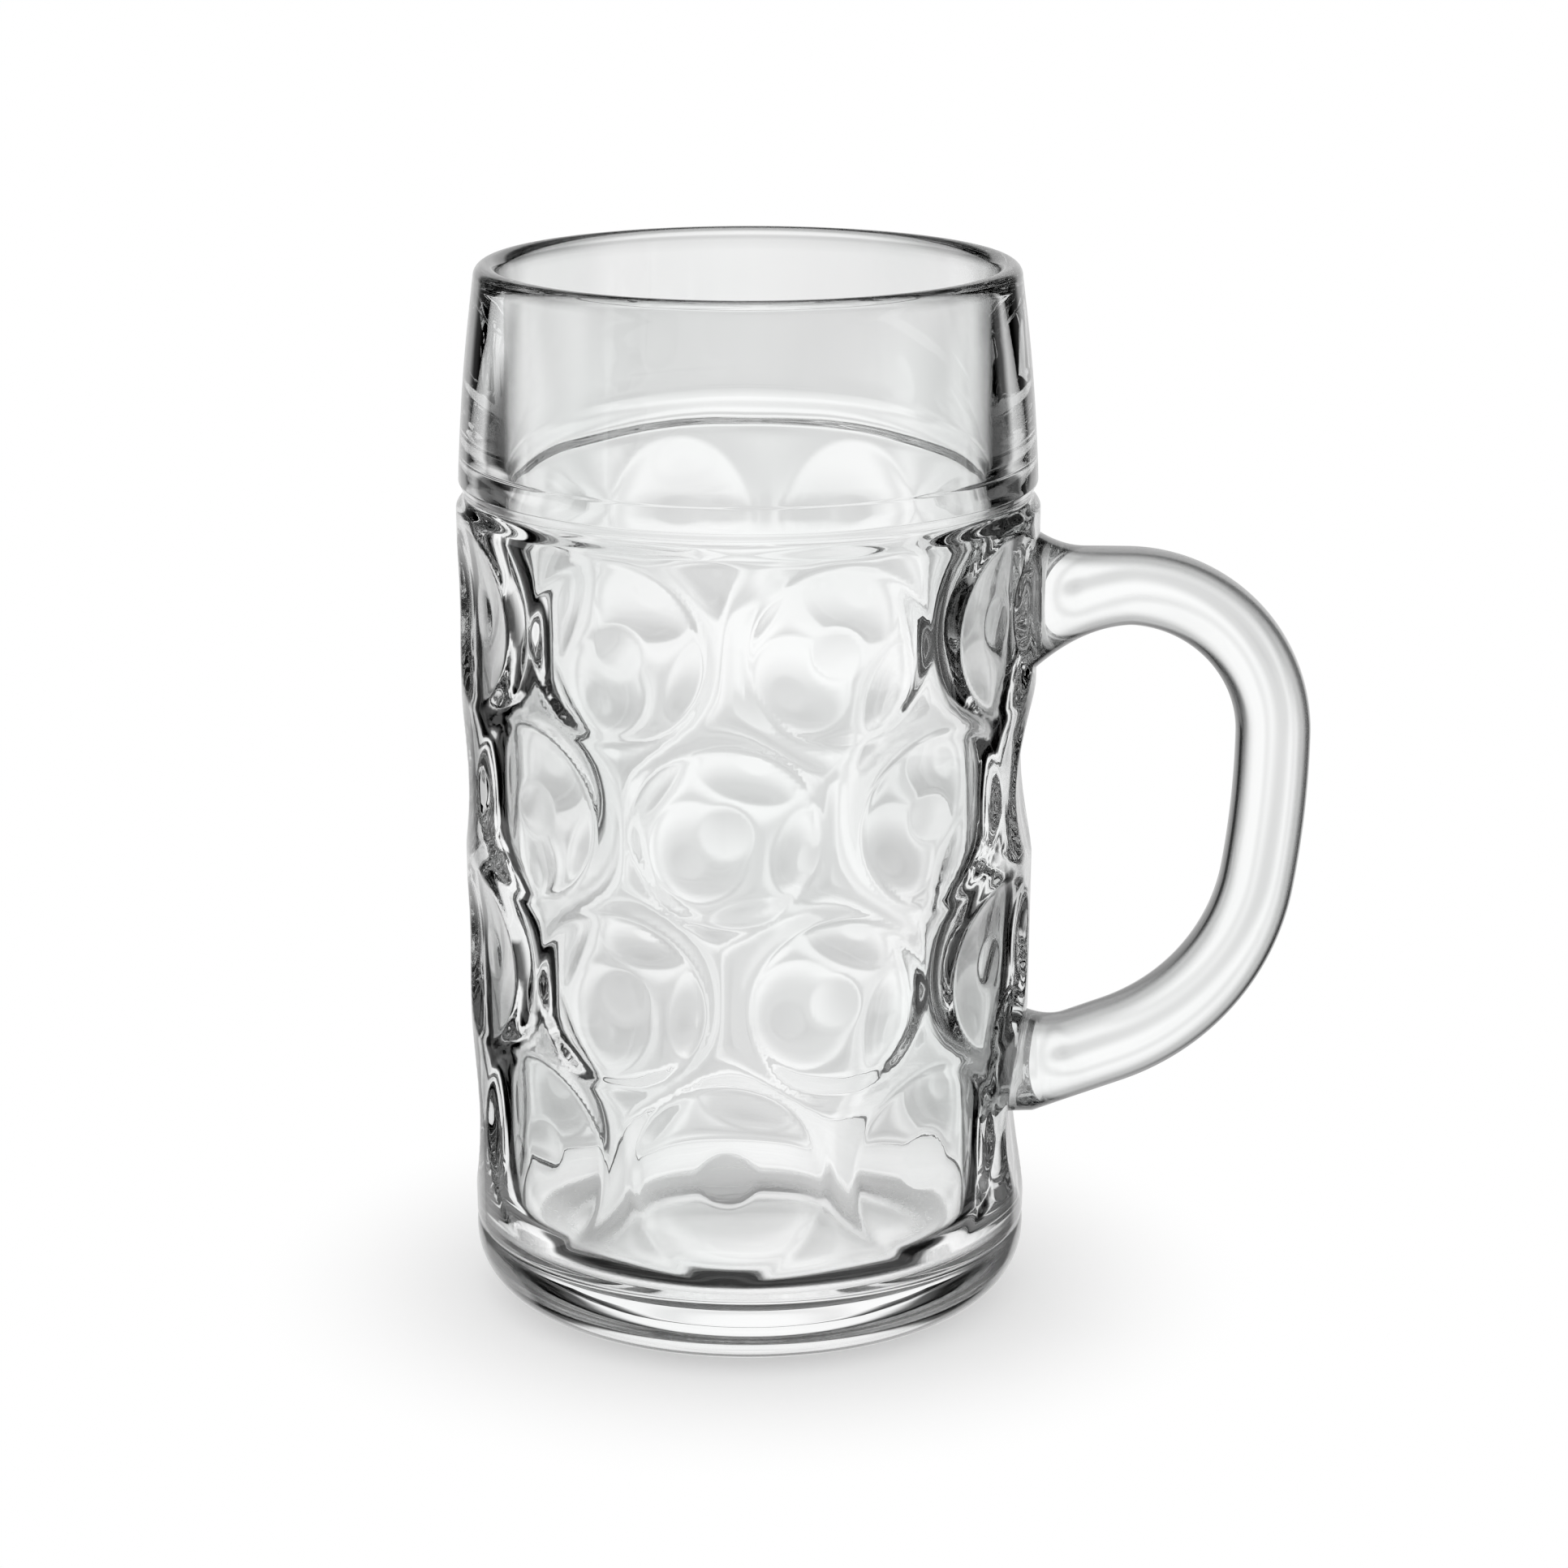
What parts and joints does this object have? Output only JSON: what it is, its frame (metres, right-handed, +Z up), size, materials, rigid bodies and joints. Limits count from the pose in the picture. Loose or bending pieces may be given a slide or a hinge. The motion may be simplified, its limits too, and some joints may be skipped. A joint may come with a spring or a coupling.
{
  "type": "dimpled beer mug",
  "caption": "Tall clear glass beer mug with a plain rim band, a wall of staggered round dimples, a thick rounded foot and a D-shaped glass handle.",
  "frame": {"origin": "on the vessel's axis, in the plane of the ring that the mug rests on", "axes": "+Z up along the vessel's axis, +X from the axis towards the handle"},
  "size_m": [0.1613, 0.1098, 0.2],
  "materials": {
    "clear_glass": "fire polished, colourless, with a faint green-grey cast in the thick foot"
  },
  "bodies": {
    "root": {"mug_body": "clear_glass", "handle": "clear_glass"}
  },
  "joints": []
}
